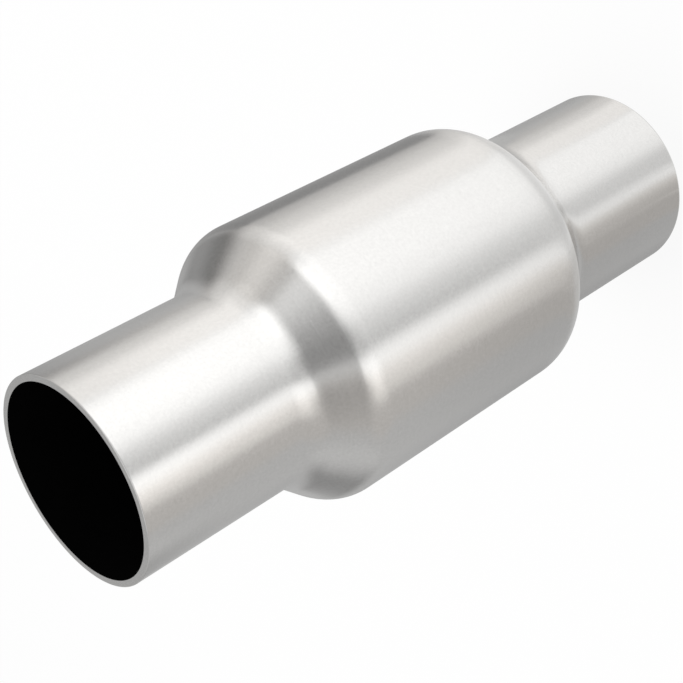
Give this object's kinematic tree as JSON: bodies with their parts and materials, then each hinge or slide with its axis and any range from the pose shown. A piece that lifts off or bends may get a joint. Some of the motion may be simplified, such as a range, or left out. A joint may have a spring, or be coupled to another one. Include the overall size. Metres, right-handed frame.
{
  "type": "catalytic converter",
  "caption": "Round catalytic converter. A spun steel tube, wide in the middle with a narrow neck at each end, holds a wound metal foil honeycomb that cleans the exhaust gas.",
  "frame": {"origin": "centre of the lower rim, in the plane that the part stands on", "axes": "+Z along the axis of the tube, upwards from the rim that it stands on. +X lies along the straight middle of the foil layers. The two ends are alike."},
  "size_m": [0.0888, 0.0888, 0.235],
  "materials": {
    "shell_steel": "satin stainless steel, spun",
    "mantle_steel": "mill finish stainless steel",
    "flat_foil_coat": "steel foil with a matt ceramic catalyst coat",
    "corrugated_foil_coat": "steel foil with a matt ceramic catalyst coat"
  },
  "bodies": {
    "root": {"shell": "shell_steel", "mantle": "mantle_steel", "flat_foil_1": "flat_foil_coat", "flat_foil_2": "flat_foil_coat", "flat_foil_3": "flat_foil_coat", "flat_foil_4": "flat_foil_coat", "flat_foil_5": "flat_foil_coat", "flat_foil_6": "flat_foil_coat", "flat_foil_7": "flat_foil_coat", "flat_foil_8": "flat_foil_coat", "flat_foil_9": "flat_foil_coat", "flat_foil_10": "flat_foil_coat", "flat_foil_11": "flat_foil_coat", "corrugated_foil_1": "corrugated_foil_coat", "corrugated_foil_2": "corrugated_foil_coat", "corrugated_foil_3": "corrugated_foil_coat", "corrugated_foil_4": "corrugated_foil_coat", "corrugated_foil_5": "corrugated_foil_coat", "corrugated_foil_6": "corrugated_foil_coat", "corrugated_foil_7": "corrugated_foil_coat", "corrugated_foil_8": "corrugated_foil_coat", "corrugated_foil_9": "corrugated_foil_coat", "corrugated_foil_10": "corrugated_foil_coat"}
  },
  "joints": []
}
